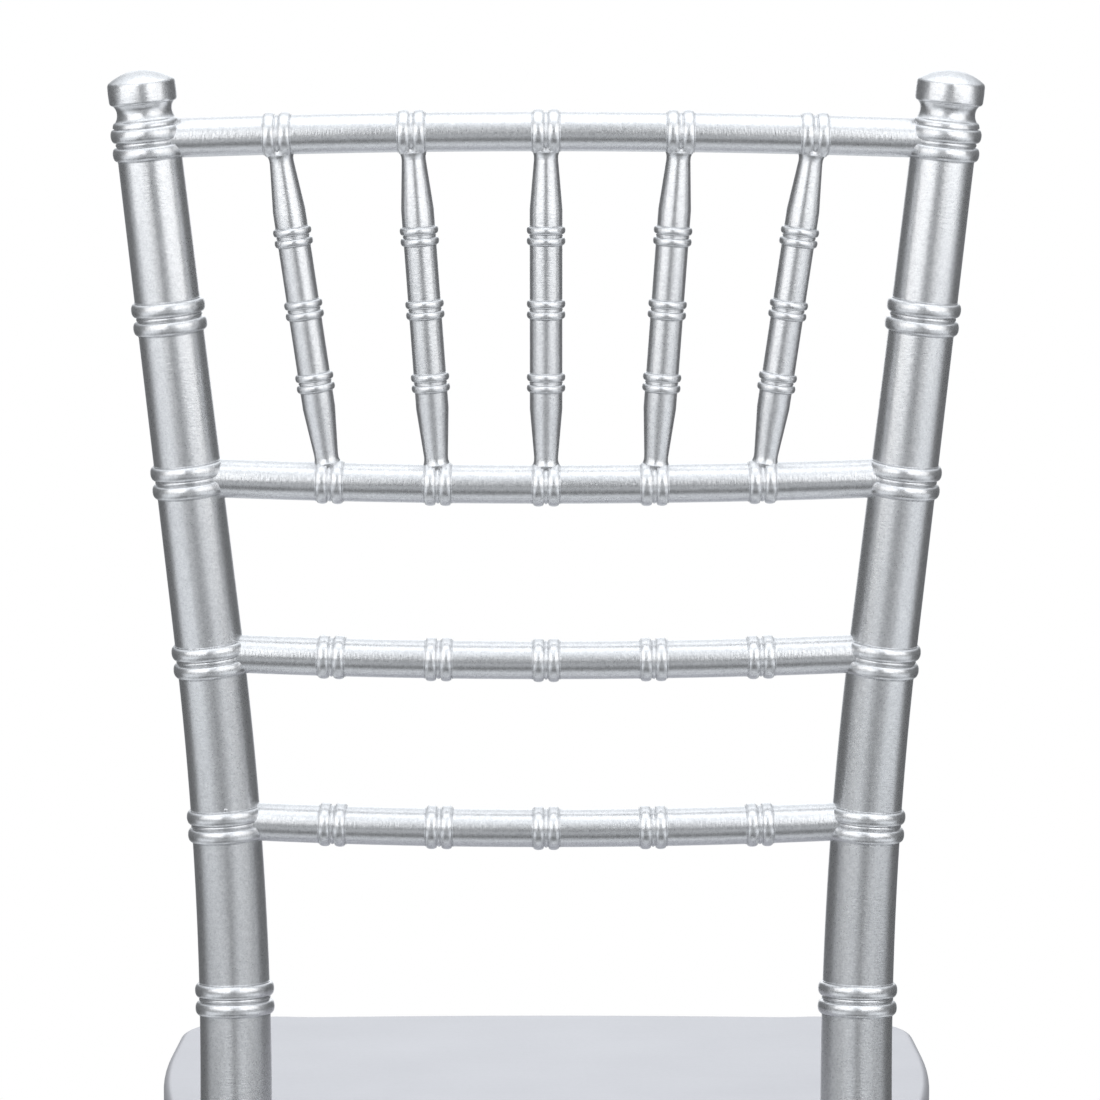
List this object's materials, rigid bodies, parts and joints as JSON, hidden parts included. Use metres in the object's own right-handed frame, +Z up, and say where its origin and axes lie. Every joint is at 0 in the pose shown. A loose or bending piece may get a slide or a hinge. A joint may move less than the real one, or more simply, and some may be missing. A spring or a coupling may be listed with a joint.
{
  "type": "chiavari chair",
  "caption": "Slender wooden banquet chair: turned legs and rungs ringed like bamboo, a tall raked back of bowed rails with fanned spindles, and a thin shaped seat, lacquered metallic silver.",
  "frame": {"origin": "on the floor, at the middle of the chair's bounding box in plan", "axes": "+Z up; the sitter faces -Y, so the back rest is on the +Y side; +X is the sitter's left"},
  "size_m": [0.3784, 0.41, 0.92],
  "materials": {
    "silver_lacquered_beech": "metallic silver lacquer, satin to semi-gloss, over turned beech",
    "silver_lacquered_board": "metallic silver lacquer, satin, over a plywood seat board",
    "zinc_plated_steel": "zinc plated",
    "grey_nylon": "matte nylon"
  },
  "bodies": {
    "root": {"rear_post_left": "silver_lacquered_beech", "rear_post_right": "silver_lacquered_beech", "top_rail": "silver_lacquered_beech", "spindle_rail": "silver_lacquered_beech", "middle_rail": "silver_lacquered_beech", "lower_rail": "silver_lacquered_beech", "spindle_1": "silver_lacquered_beech", "spindle_2": "silver_lacquered_beech", "spindle_3": "silver_lacquered_beech", "spindle_4": "silver_lacquered_beech", "spindle_5": "silver_lacquered_beech", "front_leg_left": "silver_lacquered_beech", "front_leg_right": "silver_lacquered_beech", "front_rung_upper": "silver_lacquered_beech", "front_rung_lower": "silver_lacquered_beech", "back_rung_upper": "silver_lacquered_beech", "back_rung_lower": "silver_lacquered_beech", "side_rung_left_upper": "silver_lacquered_beech", "side_rung_left_lower": "silver_lacquered_beech", "side_rung_right_upper": "silver_lacquered_beech", "side_rung_right_lower": "silver_lacquered_beech", "seat_panel": "silver_lacquered_board", "bracket_front_left": "zinc_plated_steel", "bracket_front_right": "zinc_plated_steel", "bracket_rear_left": "zinc_plated_steel", "bracket_rear_right": "zinc_plated_steel", "bracket_screws": "zinc_plated_steel", "rail_pins": "zinc_plated_steel", "glide_front_left": "grey_nylon", "glide_front_right": "grey_nylon", "glide_rear_left": "grey_nylon", "glide_rear_right": "grey_nylon"}
  },
  "joints": []
}
